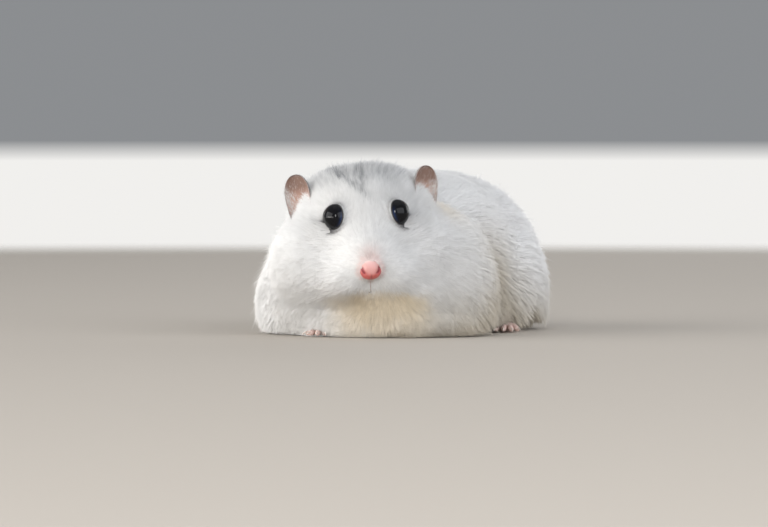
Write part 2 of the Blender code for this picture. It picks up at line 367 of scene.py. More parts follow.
def swept(path, widths, heights, up, columns):
    """Points of a tube: an ellipse of the given half-widths and half-heights carried along a path.

    At each point of the path the ellipse lies across its direction, its height nearest to up. The path's
    two ends follow the rings.
    """
    heading = unit(np.gradient(path, axis=0))
    side = unit(np.cross(heading, up))
    rise = np.cross(side, heading)
    turn = circle(columns)
    across = side[:, None] * (widths[:, None] * np.cos(turn))[..., None]
    above = rise[:, None] * (heights[:, None] * np.sin(turn))[..., None]
    rings = (path[:, None] + across + above).reshape(-1, 3)
    return np.concatenate((rings, path[:1], path[-1:]))


# The outer form of the coat, and the skin under it

# Toes below this level are drawn in behind the front or inside the side limit; metres
TOE_LEVEL, TOE_FRONT, TOE_SIDE = 0.0026, -0.031, 0.0215
# Places and amounts of the changes to the outer form; millimetres
RIGHT_SHOULDER = (-23.3, -17.9, 19.2)
HEEL = (23.0, 12.5, 3.0)
EDGE_ROUNDING = 2.0
SHOULDER_FLATTENING = 2.8
SOCKET_DEPTH = 0.6


def arrays(mesh):
    """Points in millimetres, normals and triangles of a mesh."""
    points, normals = np.empty(len(mesh.vertices) * 3), np.empty(len(mesh.vertices) * 3)
    mesh.vertices.foreach_get("co", points)
    mesh.vertex_normals.foreach_get("vector", normals)
    mesh.calc_loop_triangles()
    triangles = np.empty(len(mesh.loop_triangles) * 3, dtype=np.int32)
    mesh.loop_triangles.foreach_get("vertices", triangles)
    return points.reshape(-1, 3) * MM_PER_M, normals.reshape(-1, 3), triangles.reshape(-1, 3)


def remeshed(mesh, voxel, smoothing, swell=0.0):
    """A mesh swollen along its normals, rebuilt in cubes of one size and smoothed; sizes in millimetres."""
    rough = placed(mesh.name, mesh)
    if swell:
        grow = rough.modifiers.new("swell", "DISPLACE")
        grow.mid_level = 0.0
        grow.strength = swell * M_PER_MM
    remesh = rough.modifiers.new("one_skin", "REMESH")
    remesh.mode = "VOXEL"
    remesh.voxel_size = voxel * M_PER_MM
    remesh.use_smooth_shade = True
    soften = rough.modifiers.new("soften", "SMOOTH")
    soften.factor = 0.5
    soften.iterations = smoothing
    bpy.context.view_layer.update()
    graph = bpy.context.evaluated_depsgraph_get()
    made = bpy.data.meshes.new_from_object(rough.evaluated_get(graph), depsgraph=graph)
    bpy.data.objects.remove(rough)
    return made


def welded(name):
    """A node's mesh as a bmesh with its loose triangles joined, and with the toes that show drawn in."""
    shape = bmesh.new()
    shape.from_mesh(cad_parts[name].data)
    bmesh.ops.remove_doubles(shape, verts=shape.verts, dist=1e-6)
    if name in LEGS:
        for place in (vertex.co for vertex in shape.verts if vertex.co.z < TOE_LEVEL):
            if name.startswith("foreleg"):
                place.y = max(place.y, TOE_FRONT)
            else:
                place.x = min(max(place.x, -TOE_SIDE), TOE_SIDE)
    return shape


def softened(points, triangles, share, rounds=160):
    """Points of a mesh drawn towards the mean of their neighbours, by a share for each, in some rounds."""
    after = np.roll(triangles, -1, axis=1)
    ends = np.concatenate((triangles, after), axis=None)
    others = np.concatenate((after, triangles), axis=None)
    total = len(points)
    count = np.bincount(ends, minlength=total)[:, None]
    for _ in range(rounds):
        sums = [np.bincount(ends, weights=axis[others], minlength=total) for axis in points.T]
        points = points + (np.stack(sums, axis=1) / count - points) * (0.6 * share)[:, None]
    return points


@functools.lru_cache(maxsize=None)
def outer_form():
    """The surface at the tips of the coat: all flesh nodes, the eyes and the nose welded into one.

    The lower edge is rounded off, where the solids meet the floor squarely, by the square of a ramp. The
    right shoulder is flattened by a bell-shaped amount. The creases at the waist, the right of the neck
    and the throat are softened, and a little the heels.
    """
    whole = bmesh.new()
    for name in (*FLESH, "eye_left", "eye_right", "nose"):
        shape = welded(name)
        part = bpy.data.meshes.new(name)
        shape.to_mesh(part)
        shape.free()
        whole.from_mesh(part)
        bpy.data.meshes.remove(part)
    mesh = bpy.data.meshes.new("outer_form")
    whole.to_mesh(mesh)
    whole.free()
    points, normals, triangles = arrays(remeshed(mesh, voxel=0.5, smoothing=14, swell=0.22))
    points[:, :2] -= normals[:, :2] * (EDGE_ROUNDING * ramp(7.0, 0.0, points[:, 2]) ** 2)[:, None]
    dent = SHOULDER_FLATTENING * blob(points, RIGHT_SHOULDER, 5.6, stretch=(1.0, 1.6, 1.0))
    points -= normals * dent[:, None]
    x, y, z = points.T
    from_nose = apart(HEAD.inside(points), HEAD.nose)
    right = ramp(2.0, -6.0, x)
    waist = hump(-1.5, 6.5, y) * ramp(12.0, 18.0, np.abs(x)) * ramp(24.0, 14.0, z)
    neck = hump(26.0, 6.0, from_nose) * right
    heel = 0.12 * blob(np.abs(points), HEEL, 5.0) * ramp(0.0, 4.0, y)
    throat = hump(7.0, 5.5, z) * ramp(-15.0, -24.0, y) * ramp(8.0, 12.0, from_nose) * right
    share = np.maximum.reduce((waist, neck, throat, heel))
    return softened(points, triangles, share), normals, triangles


def ear_root(side):
    """Where an ear grows from the head, in the part's frame."""
    ear = option("ear")
    return HEAD.outside(np.array((side * ear.reach + ear.sway, ear.setback, ear.drop)) * MM_PER_M)


def coat_depth(points):
    """Depth of the coat in millimetres: thin on nose, lids, muzzle, feet and tail, deep on the trunk."""
    coat = option("coat")
    places, from_nose, off_eye = from_landmarks(points)
    from_ear = np.minimum(*(apart(points, ear_root(side)) for side in SIDES.values()))
    deepest, face, cheek = coat.body_depth * MM_PER_M, coat.face_depth * MM_PER_M, 1.5
    depth = face + (cheek - face) * ramp(4.0, 14.0, from_nose)
    depth += (deepest - cheek) * ramp(15.0, 28.0, from_nose)
    depth -= 0.9 * ramp(2.0, 8.0, places[:, 2]) * ramp(30.0, 18.0, from_nose) * (depth - face) / deepest
    depth *= 0.25 + 0.75 * ramp(0.2, 3.0, off_eye)
    depth *= 0.45 + 0.55 * ramp(3.0, 8.0, from_ear)
    depth *= 0.25 + 0.75 * ramp(2.0, 6.5, apart(points, node_middle("tail")))
    return depth * (0.55 + 0.45 * ramp(0.5, 5.0, points[:, 2]))


def sunk_behind_eyes(places, deeper=0.0):
    """The same places, but none over an eyeball inside its lids, nor in the way of the socket round it.

    The socket's floor is under the ball's surface inside the lids, meets it just past them, and rises from
    there by the same amount for each degree, until it comes out of the cheek. deeper lowers all of it.
    """
    for side in SIDES.values():
        offset, _, past = past_lid(places, side)
        rise, past = apart(offset) - HEAD.eye_radius, np.degrees(past)
        climb = 0.55 * ramp(1.0, 4.0, past) + 0.09 * np.clip(past - 4.0, 0.0, 60.0)
        sinks = np.maximum(rise + SOCKET_DEPTH - climb + deeper, 0.0) * ramp(4.5, 3.0, rise)
        places = places - unit(offset) * sinks[:, None]
    return places


# Fields of the coat: how it lies and what colour it has


def coat_lie(points, normals):
    """Which way the coat lies, along the surface.

    On the head it streams away from the nose, and low on the cheeks it sinks. On the trunk it runs
    backwards and down, the more the steeper the surface is. Near an eye it turns away from the eye.
    """
    places = HEAD.inside(points)
    source = HEAD.nose + (0.0, -3.0, 0.5)
    stream = unit(places - source)
    stream[:, 2] -= 0.75 * ramp(2.0, -9.0, places[:, 2]) * ramp(4.0, 14.0, np.abs(places[:, 0]))
    stream[:, 2] += 0.15 * ramp(2.0, 9.0, places[:, 2])
    stream = HEAD.turned(stream)
    steep = 1.0 - np.clip(normals[:, 2], 0.0, 1.0)
    front = ramp(0.2, 0.9, -normals[:, 1])
    outward = np.sign(points[:, 0]) * ramp(0.0, 12.0, np.abs(points[:, 0]))
    trunk = np.stack((0.35 * outward * front, 1.0 - 0.95 * front, -0.15 - 0.75 * steep), axis=1)
    right = ramp(0.0, -10.0, places[:, 0])
    share = ramp(0.0, 1.0, (apart(places, HEAD.nose) - 17.0 - 6.0 * right) / (12.0 + 4.0 * right))
    lie = mix(unit(stream), unit(trunk), share)
    from_eye, side = eye_distance(places)
    middle = side[:, None] * (HEAD.eye_reach, 0.0, 0.0)
    away = across_surface(HEAD.turned(places - middle), normals)
    near = 1.8 * np.exp(-np.clip(from_eye - HEAD.eye_radius, 0.0, 9.0) / 1.1)
    lie = across_surface(lie, normals) + away * near[:, None]
    return across_surface(lie, normals)


def eye_rim_and_shade(places):
    """How dark the short fur by an eye is, from 0 to 1: a thin rim, and a spot at the outer lower corner.

    The rim is the lid's own dark fur and fades with the distance past the lid's line and above the ball.
    On the outer side it is darker and a faint halo spreads: painted shade.
    """
    rim_and_shade = np.zeros(len(places))
    for side in SIDES.values():
        offset, round_eye, past = past_lid(places, side)
        outside = ramp(-1.0, 2.0, side * offset[:, 0])
        rise = apart(offset) - HEAD.eye_radius - 0.4
        gap = np.hypot(np.clip(past, 0.0, 3.0) * HEAD.eye_radius, 0.55 * np.clip(rise, 0.0, 9.0))
        # Darker and wider on the outer side, with a faint halo there: painted shade outside the eye.
        rim = np.exp(-gap / (0.5 + 0.1 * outside)) * (0.78 + 0.17 * outside)
        rim += 0.22 * np.exp(-gap / 1.1) * outside
        corner = bump(round_eye, 226.0, 24.0) * hump(0.0, 0.95, gap)
        rim_and_shade = np.maximum(rim_and_shade, rim + corner)
    return np.clip(rim_and_shade, 0.0, 0.94)


def ticking(points, normals, places):
    """How grey the crown is, from 0 to 1: a broad band, a slanting and an upright streak, a stripe behind.

    Fine sine waves round a point under the brow make it fan out in strands.
    """
    x, y, z = places.T
    fan = np.arctan2(x + 0.5, z + 6.0)
    strands = 0.5 + 0.5 * np.sin(74.0 * fan + 2.2 * waves(points, 5.0, 12))
    patchy = 0.84 + 0.16 * waves(points, 4.0, 11)
    behind = ramp(24.0, 10.0, y)
    band = ramp(4.2, 8.0, z) * ramp(13.0, 8.0, np.abs(x + 1.2)) * behind
    slant = hump(0.5, 1.25, x + 0.92 * (z - 2.5)) * ramp(0.8, 3.2, z) * ramp(11.5, 9.0, z)
    upright = hump(-0.3, 0.85, x) * ramp(2.2, 4.6, z) * behind
    head = 0.49 * band * (0.6 + 0.45 * strands) + (0.6 * slant + 0.5 * upright) * (0.5 + 0.5 * strands)
    stripe = hump(0.0, 4.0, points[:, 0] + 0.5) * ramp(0.75, 0.95, normals[:, 2])
    return head * patchy + 0.2 * (stripe * ramp(-22.0, -8.0, points[:, 1]))


def cream_and_shade_shares(points, normals, places):
    """How cream the coat is, and how much painted shade it has, from 0 to 1 each.

    Cream is the bib under the chin and a tuft behind the left ear. The shade is painted in a warm greyish
    tan, as if bounced off the floor: on the lower left breast, the belly and what faces down low on the
    body, low on the left side, and in the fold before the haunch.
    """
    x, y, z = places.T
    soft = 0.8 * waves(points, 5.0, 13)
    bib = ramp(-14.3, -16.6, z + 0.5 * soft) * (0.3 + 0.7 * ramp(-24.5, -17.5, z + soft))
    bib = bib * ramp(12.0, 4.0, np.abs(x - 1.8) + soft) * ramp(14.0, 6.0, y)
    # Painted shade, warmed as if by the floor: the lower left breast, what faces down low on the body, the
    # fold before the haunch, and low on the left side.
    breast = ramp(-11.0, -19.0, z + soft) * ramp(1.0, 8.0, x)
    low = ramp(12.0, 3.0, points[:, 2])
    under = ramp(0.4, -0.6, normals[:, 2]) * low * ramp(-10.0, 6.0, points[:, 0])
    fold = blob(points, (21.6, -9.5, 9.0), 6.0, (1.0, 1.7, 2.2))
    shade_beige = 0.3 * breast + 0.5 * under + 1.1 * fold
    shade_beige += 0.2 * ramp(11.0, 3.0, points[:, 2]) * ramp(12.0, 20.0, points[:, 0])
    behind_ear = blob(places, (15.5, 9.5, -1.0), 3.4)
    return np.maximum(0.8 * bib, 0.5 * behind_ear), np.clip(shade_beige, 0.0, 0.92)


def coat_colour(points, normals, chance):
    """Linear colour of the coat and the skin under it.

    White, cream under the chin, a warm greyish tan of painted shade low down and in the fold, pink
    round the nose, grey ticking on the crown, and a dark rim by the eyes with painted shade outside it;
    chance, from 0 to 1 for each place, is how dark a tuft there may be.
    """
    coat = option("coat")
    places = HEAD.inside(points)
    x, y, z = (places - HEAD.nose).T
    cream, shade_beige = cream_and_shade_shares(points, normals, places)
    colour = mix(mix(coat.white, coat.shade_beige, shade_beige), coat.cream, cream)
    grey = np.clip(ticking(points, normals, places) * (0.5 + 1.0 * chance), 0.0, 0.9)
    colour = mix(colour, coat.ticking, grey)
    bridge = hump(0.0, 1.9, x) * ramp(5.6, 2.2, z) * ramp(-0.5, 1.5, z) * ramp(5.0, 2.0, y)
    ring = ramp(0.9, 0.1, np.abs(x) - nose_breadth(z)) * ramp(-3.0, -2.2, z)
    ring = ring * ramp(3.4, 2.6, z) * ramp(3.0, 1.5, y)
    colour = mix(colour, coat.bare, np.maximum(0.42 * bridge, 0.5 * ring))
    return mix(colour, coat.dark, eye_rim_and_shade(places))


# Where the coat grows

SEEDS = {"sowing": 5, "combing": 8, "ears": 77, "lids": 78, "whiskers": 31}
REGIONS = ("face", "forehead", "cheek", "chest", "shoulder", "back", "flank", "rump", "belly")
SHORT_REGIONS = ("face", "forehead", "cheek")


def tuft_density(points, normals):
    """Tufts for each square millimetre: dense and fine on the face, fewest underneath where none show."""
    face, cheek, crown, trunk, lids = 84.0, 42.0, 20.0, 15.0, 110.0
    places, from_nose, off_eye = from_landmarks(points)
    cheek = cheek + crown * ramp(0.0, 5.0, places[:, 2])
    density = face + (cheek - face) * ramp(6.0, 13.0, from_nose)
    density += (trunk - density) * ramp(19.0, 27.0, from_nose)
    density = np.maximum(density, lids * ramp(3.5, 0.8, off_eye))
    density *= 1.0 - 0.2 * ramp(10.0, 25.0, points[:, 1])
    hidden = ramp(1.6, 0.4, points[:, 2]) * ramp(-0.5, -0.9, normals[:, 2])
    return density * (1.0 - 0.85 * hidden)


def sown():
    """Seeded places on the outer form, as many in each part as the density asks, with their normals."""
    points, normals, triangles = outer_form()
    corners = points[triangles]
    edges = corners[:, 1:] - corners[:, :1]
    area = np.linalg.norm(np.cross(edges[:, 0], edges[:, 1]), axis=1) / 2.0
    wanted = area * tuft_density(corners.mean(1), unit(normals[triangles].mean(1)))
    count = int(wanted.sum() * option("coat").fullness)
    chance = np.random.default_rng(SEEDS["sowing"])
    face = np.searchsorted(np.cumsum(wanted) / wanted.sum(), chance.random(count))
    face = np.minimum(face, len(triangles) - 1)
    first, second = chance.random((2, count))
    fold = first + second > 1.0
    first[fold], second[fold] = 1.0 - first[fold], 1.0 - second[fold]
    share = np.stack((1.0 - first - second, first, second), axis=1)[..., None]
    return (corners[face] * share).sum(1), unit((normals[triangles[face]] * share).sum(1))


def bare_places(points):
    """True where no tuft grows: on the eyes and lids, on the nose pad and in the line of the lips."""
    places = HEAD.inside(points)
    x, y, z = (places - HEAD.nose).T
    breadth = nose_breadth(z) + 0.05 - 0.5 * ramp(0.0, 1.4, z)
    bare = (np.abs(x) < breadth) & (y < 3.0) & (z > -2.3) & (z < 1.5)
    for side in SIDES.values():
        offset, _, past = past_lid(places, side)
        far = apart(offset) - HEAD.eye_radius
        bare |= (past < math.radians(1.0)) & (far < 2.5) | (past < math.radians(2.5)) & (far < 0.5)
    mouth = hump(0.0, 0.55, x) * hump(MOUTH_LEVEL, 0.42, z)
    return bare | ((np.maximum(lip_groove(x, z), mouth) > 0.55) & (y < 5.0))


def region_of(points, normals):
    """The coat piece that each place belongs to, as a number, with the animal's left and right apart."""
    places, from_nose, _ = from_landmarks(points)
    region = np.full(len(points), REGIONS.index("flank"))
    later_wins = {
        "shoulder": points[:, 1] < 4.0,
        "rump": points[:, 1] > 22.0,
        "back": (normals[:, 2] > 0.62) & (points[:, 1] <= 22.0),
        "chest": (points[:, 1] < -18.0) & (points[:, 2] < 12.0),
        "belly": normals[:, 2] < -0.75,
        "cheek": (from_nose < 24.0) & (points[:, 2] > 6.0),
        "forehead": (from_nose < 26.0) & (places[:, 2] > 2.0),
        "face": from_nose < 11.0,
    }
    for name, inside in later_wins.items():
        region[inside] = REGIONS.index(name)
    return region * 2 + (np.where(from_nose < 26.0, places[:, 0], points[:, 0]) < 0)


def nearest(points, targets):
    """For each point the number of the nearest target, worked out in blocks."""
    block = 4096
    found = np.empty(len(points), dtype=np.int64)
    spread = (targets**2).sum(1)
    for start in range(0, len(points), block):
        here = slice(start, start + block)
        found[here] = (spread - 2.0 * points[here] @ targets.T).argmin(1)
    return found


# Tufts


class Tufts:
    """Many tufts as arrays: the surface they stand on, root, bend and tip, breadth, and colours."""

    SPIKE = np.array(((0, 2, 1), (0, 1, 3), (1, 2, 3), (2, 0, 3)))
    LOWER = ((0, 2, 1), (0, 1, 4), (0, 4, 3), (1, 2, 5), (1, 5, 4), (2, 0, 3), (2, 3, 5))
    BENT = np.array((*LOWER, (3, 4, 6), (4, 5, 6), (5, 3, 6)))
    AROUND = ((-1.0, -0.3), (1.0, -0.3), (0.0, 0.5))
    # Half the breadth of a tuft's island in the bake map, and the lowest that a tuft may reach in millimetres
    ISLAND, FLOOR = 0.0015, 0.06

    def __init__(self, surface, normals, root, middle, tip, width, root_colour, colour):
        self.surface, self.normals = surface, normals
        self.root, self.middle, self.tip = root, middle, tip
        self.width = width
        self.root_colour, self.colour = root_colour, colour

    def some(self, chosen):
        """The chosen ones."""
        return Tufts(*(value[chosen] for value in vars(self).values()))

    def mesh(self, name, bent):
        """The tufts as closed three-sided spikes, bent ones in two lengths, with soft normals, mapped."""
        count = len(self.root)
        way = unit(self.tip - self.root)
        side = unit(np.cross(self.normals, way))
        above = np.cross(way, side)
        size = 7 if bent else 4
        points, shade, colours = (np.empty((count, size, 3)) for _ in range(3))
        spots = np.empty((count, size, 2))
        place = unwrap(self.surface, self.surface.mean(0) * (0.6, 0.8, 0.35))
        half = (self.width / 2.0)[:, None]
        for number, (across, height) in enumerate(self.AROUND):
            offset = half * (side * across + above * height)
            shade[:, number] = unit(self.normals + side * (0.35 * across))
            points[:, number] = self.root + offset
            colours[:, number] = self.root_colour
            spots[:, number] = place + np.array((across, -1.0)) * self.ISLAND
            if bent:
                shade[:, number + 3] = shade[:, number]
                points[:, number + 3] = self.middle + 0.85 * offset
                colours[:, number + 3] = 0.3 * self.root_colour + 0.7 * self.colour
                spots[:, number + 3] = place + np.array((0.7 * across, 0.1)) * self.ISLAND
        shade[:, -1] = unit(self.normals + 0.2 * way)
        points[:, -1] = self.tip
        colours[:, -1] = self.colour
        spots[:, -1] = place + (0.0, self.ISLAND)
        points[:, :, 2] = np.maximum(points[:, :, 2], self.FLOOR)
        triangles = self.BENT if bent else self.SPIKE
        triangles = (triangles + size * np.arange(count)[:, None, None]).reshape(-1, 3)
        hair = Surface()
        hair.add(points.reshape(-1, 3), colours.reshape(-1, 3), triangles)
        mesh = hair.mesh(name)
        layer = mesh.uv_layers.new(name=BAKE_MAP)
        layer.data.foreach_set("uv", spots.reshape(-1, 2)[triangles.ravel()].astype(np.float32).ravel())
        mesh.normals_split_custom_set_from_vertices(shade.reshape(-1, 3))
        return mesh


def joined(sets):
    """Several sets of tufts as one."""
    return Tufts(*(np.concatenate([vars(each)[key] for each in sets]) for key in vars(sets[0])))


def unwrap(points, centre):
    """A map of the skin's own shape, from 0 to 1: directions from a centre, on an equal-area disc.

    The disc is centred on the mean direction; a direction at angle a from it lies sin(a / 2) from the
    middle.
    """
    direction = unit(points - centre)
    axis = unit(direction.mean(0))
    first = unit(np.cross(axis, (0.31, 0.12, 0.94)))
    second = np.cross(axis, first)
    angle = np.arccos(np.clip(direction @ axis, -1.0, 1.0))
    turn = np.arctan2(direction @ second, direction @ first)
    flat = np.sin(angle / 2.0)[:, None] * np.stack((np.cos(turn), np.sin(turn)), axis=1)
    low, high = flat.min(0), flat.max(0)
    return 0.01 + 0.98 * (flat - low) / (high - low)


def combed():
    """Every tuft of the coat. It leaves the skin steeply, bends halfway and ends at the outer form.

    Near an eye the roots sink with the skin into its socket, where painted shade darkens them. Every root
    is a little darker than its tip, painted shade deep in the coat, less on the trunk. Before the left ear
    the fur is longer, and single wisps stand out. Neighbours lean together into locks, each towards the
    tuft that leads it, loosely on the head.
    """
    coat = option("coat")
    points, normals = sown()
    grows = ~bare_places(points)
    points, normals = points[grows], normals[grows]
    count = len(points)
    chance = np.random.default_rng(SEEDS["combing"])
    places, from_nose, off_eye = from_landmarks(points)
    depth = coat_depth(points)
    trunk = ramp(14.0, 28.0, from_nose)
    low = ramp(9.0, 2.0, points[:, 2])
    crown = ramp(4.0, 9.0, places[:, 2]) * (1.0 - trunk)
    before_ear = blob(places, (12.4, 5.8, 1.6), 3.2)

    lie = coat_lie(points, normals)
    swirl = 9.0 * waves(points, 12.0, 21) + 7.0 * waves(points, 4.0, 22) + chance.normal(0.0, 7.0, count)
    swirl = np.radians(swirl * (0.6 + 0.1 * trunk + 0.4 * low))
    lie = swing(lie, np.cross(normals, lie), swirl)

    flattest, steepest, bend = math.radians(14.0), math.radians(58.0), math.radians(13.0)
    lift = np.radians(25.0 + 6.0 * trunk + 6.0 * crown + chance.normal(0.0, 5.0, count))
    length = depth / np.sin(np.clip(lift, flattest, 1.0)) * chance.uniform(0.84, 1.14, count)
    length = np.minimum(length, 3.0 + 3.5 * trunk) * (1.0 + 0.2 * low * chance.random(count))
    length *= 0.65 + 0.35 * ramp(0.3, 2.5, off_eye)
    length += 1.9 * before_ear
    lift += np.radians(9.0) * before_ear
    wisp = chance.random(count) < 0.03 + 0.07 * crown
    lift = np.clip(lift + np.radians(9.0) * wisp, flattest, steepest)
    length[wisp] *= 1.15
    skin = points - normals * (depth + 0.08)[:, None]
    root = HEAD.outside(sunk_behind_eyes(HEAD.inside(skin), 0.08))
    half = (0.5 * length)[:, None]
    middle = root + swing(lie, normals, lift + bend) * half
    tip = middle + swing(lie, normals, lift - bend) * half

    leaders = chance.choice(count, count // 14, replace=False)
    leader = leaders[nearest(root, root[leaders])]
    pull = 0.18 - 0.07 * trunk + 0.1 * low
    pull = pull * ramp(4.0, 1.5, apart(tip[leader], tip))
    tip += (tip[leader] - tip) * pull[:, None]
    middle += (middle[leader] - middle) * (0.3 * pull)[:, None]

    thickness = 0.62 + 0.38 * trunk
    width = coat.tuft_width * MM_PER_M * thickness * chance.uniform(0.75, 1.25, count)
    width[wisp] *= 0.6
    lock = chance.random(count)[leader]
    own = chance.random(count)
    colour = coat_colour(points, normals, 0.6 * own + 0.4 * lock)
    streaks = coat.streaks * (0.65 + 0.35 * (1.0 - trunk))
    colour = colour * (1.0 - streaks * (0.7 * lock + 0.3 * own))[:, None]
    # Painted shade: roots sunk into an eye's socket darken towards the dark colour, and all roots are darker
    # than their tips, less on the trunk.
    seat = sunk_behind_eyes(places, -0.1)
    rim_and_shade = eye_rim_and_shade(seat) * hump(0.0, 0.75, apart(places, seat))
    root_colour = mix(colour * mix(coat.root_shade, np.ones(3), 0.85 * trunk), coat.dark, rim_and_shade)
    return Tufts(points, normals, root, middle, tip, width, root_colour, colour)


def ear_fuzz():
    """Short fur of both ears: dense on the back, a pale strip up the hollow, and more at the root.

    The sheet's own directions come from small steps across and along it.
    """
    chance = np.random.default_rng(SEEDS["ears"])
    ear = option("ear")
    small = 0.02
    sets = []
    for side in SIDES.values():
        for count, face in ((4200, 1.0), (3600, -1.0)):
            across = chance.uniform(-0.95, 0.95, count)
            along = chance.uniform(0.0, 0.97, count)
            if face < 0:
                strip = 0.9 * hump(0.66, 0.26, across * side) * ramp(0.85, 0.6, along)
                keep = chance.random(count) < strip + 0.9 * ramp(0.3, 0.08, along) + 0.05
                across, along = across[keep], along[keep]
            lift = np.full(len(across), face * 0.4 * ear.wall * MM_PER_M)
            here = ear_points(side, across, along, lift)
            right = ear_points(side, across + small, along, lift) - here
            up = ear_points(side, across, along + small, lift) - here
            out = ear_points(side, across, along, lift + face * 0.2) - here
            normals = unit(np.cross(right, up))
            normals *= np.sign((normals * out).sum(1, keepdims=True))
            scatter = chance.normal(0.0, 0.09, here.shape)
            way = unit(unit(up) * 0.9 + unit(right) * (0.45 * across)[:, None] + scatter)
            length = chance.uniform(0.55, 1.0, len(here)) * (1.0 + 1.3 * ramp(0.3, 0.05, along))
            length = length * (1.0 - 0.45 * ramp(0.75, 0.95, along))
            tip = here + unit(way + normals * 0.2) * length[:, None]
            middle = here + unit(way + normals * 0.35) * (0.5 * length)[:, None]
            tone = mix(ear.fuzz, ear.fuzz_dark, chance.random(len(here)) * 0.7)
            tone = mix(tone, ear.top, 0.55 * ramp(0.6, 0.85, along) * (0.5 - 0.5 * face))
            width = chance.uniform(0.035, 0.06, len(here))
            # Roots a tenth darker than the tips: painted shade deep in the fuzz.
            sets.append(Tufts(here, normals, here - normals * 0.05, middle, tip, width, tone * 0.9, tone))
    return joined(sets)


def lid_fur():
    """The shortest fur, on the lids: it leaves the rolled edge and covers the step down to the cheek."""
    chance = np.random.default_rng(SEEDS["lids"])
    count = 2400
    sets = []
    for side in SIDES.values():
        middle, gaze, up, nasal = eye_frame(side)
        round_eye = chance.uniform(0.0, 2.0 * math.pi, count)
        angle = lid_angle(round_eye) + np.radians(chance.uniform(2.0, 13.0, count))
        outwards = swing(up, nasal, round_eye)
        normal = swing(gaze, outwards, angle)
        away = swing(outwards, -gaze, angle)
        length = chance.uniform(0.3, 0.55, count) * (1.0 + 0.8 * bump(round_eye, 224.0, 60.0))
        lift = np.radians(chance.uniform(8.0, 30.0, count))
        way = unit(swing(away, normal, lift) + chance.normal(0.0, 0.1, (count, 3)))
        place = middle + normal * (HEAD.eye_radius - 0.04)
        root, tip = HEAD.outside(place), HEAD.outside(place + way * length[:, None])
        normals, own = HEAD.turned(normal), chance.random(count)
        tones = [coat_colour(points, normals, own) for points in (root, tip)]
        # The tips are drawn 0.3 of the way to the dark colour: painted shade round the eye.
        tones[1] = mix(tones[1], option("coat").dark, 0.3)
        width = chance.uniform(0.05, 0.09, count)
        sets.append(Tufts(root, normals, root, (root + tip) / 2.0, tip, width, *tones))
    return joined(sets)


# Skin, lids, ears and feet


def skin_body():
    """The outer form drawn in by the depth of the coat, rebuilt as one skin with a parted upper lip.

    Round the nose pad it steps back, so that the pad alone is seen there. Round the eyes it sinks into
    sockets.
    """
    coat, face = option("coat"), option("face")
    points, normals, triangles = outer_form()
    inner = Surface()
    inner.add(points - normals * coat_depth(points)[:, None], (1, 1, 1), triangles)
    mesh = remeshed(inner.mesh("skin_draft"), voxel=0.45, smoothing=3)
    points, _, _ = arrays(mesh)
    lips = apart(HEAD.inside(points) - HEAD.nose, (0.0, 0.0, -2.6)) < 5.2
    shape = bmesh.new()
    shape.from_mesh(mesh)
    edges = [edge for edge in shape.edges if all(lips[end.index] for end in edge.verts)]
    bmesh.ops.subdivide_edges(shape, edges=edges, cuts=2, use_grid_fill=True)
    shape.to_mesh(mesh)
    shape.free()
    points, normals, _ = arrays(mesh)
    places = HEAD.inside(points) - HEAD.nose
    x, y, z = places.T
    behind = ramp(1.02, 0.8, np.hypot(x / 2.1, (z + 0.3) / 1.95)) * ramp(3.0, 2.0, y)
    places[:, 1] += np.maximum(0.7 - y, 0.0) * behind
    groove = lip_groove(x, z) * ramp(6.0, 3.0, y)
    mouth = hump(0.0, 0.45, x) * hump(MOUTH_LEVEL, 0.32, z) * ramp(6.0, 3.0, y)
    places = places + HEAD.nose
    colour = coat_colour(HEAD.outside(places), normals, np.full(len(points), 0.5)) * 0.92
    places = sunk_behind_eyes(places)
    points = HEAD.outside(places) - normals * (0.15 * groove)[:, None]
    mesh.vertices.foreach_set("co", (points * M_PER_MM).ravel())
    mesh.update()
    points, _, triangles = arrays(mesh)
    # Near the lids the skin takes the dark rim; sunk into the socket it takes painted shade.
    colour = mix(colour, coat.dark, eye_rim_and_shade(places))
    # The groove under the nose and the mouth are darker copies of the skin's pink: painted shade in the
    # crease and the closed mouth.
    colour = mix(colour, face.slit, np.clip(1.2 * groove, 0.0, 1.0))
    return points, mix(colour, face.lip, np.clip(1.3 * mouth, 0.0, 1.0)), triangles


def lid(skin, side):
    """A rim round the eyeball: a rolled edge carried round the lid's line, sinking into the skin behind.

    Down its profile the angle from the gaze grows past the lid's line and the radius falls below the
    skin.
    """
    columns, rows = 96, 20
    round_eye = circle(columns)
    step = np.linspace(0.0, 1.0, rows, endpoint=False)
    knots = (0.0, 0.07, 0.13, 0.22, 0.34, 0.48, 0.62, 0.74, 0.86, 1.0)
    widen = np.interp(step, knots, (-3.0, -1.6, -0.2, 1.2, 2.8, 5.0, 8.5, 14.0, 7.0, -3.0))
    above = np.interp(step, knots, (-0.25, -0.01, 0.05, 0.08, 0.07, -0.03, -0.35, -1.0, -1.3, -0.25))
    direction = eye_ray(side, round_eye, lid_angle(round_eye) + np.radians(widen)[:, None])
    places = eye_frame(side)[0] + direction * (HEAD.eye_radius + above)[:, None, None]
    softness = np.interp(step, (0.0, 0.3, 0.6, 1.0), (0.0, 0.1, 1.0, 1.0))
    shade = np.repeat(mix(option("face").lid, option("coat").dark, softness), columns, axis=0)
    facing_out = (1, 2, 3, 0) if side > 0 else (0, 3, 2, 1)
    quads = grid_quads(rows, columns, closed=True)[:, facing_out]
    skin.add(HEAD.outside(places.reshape(-1, 3)), shade, quads)


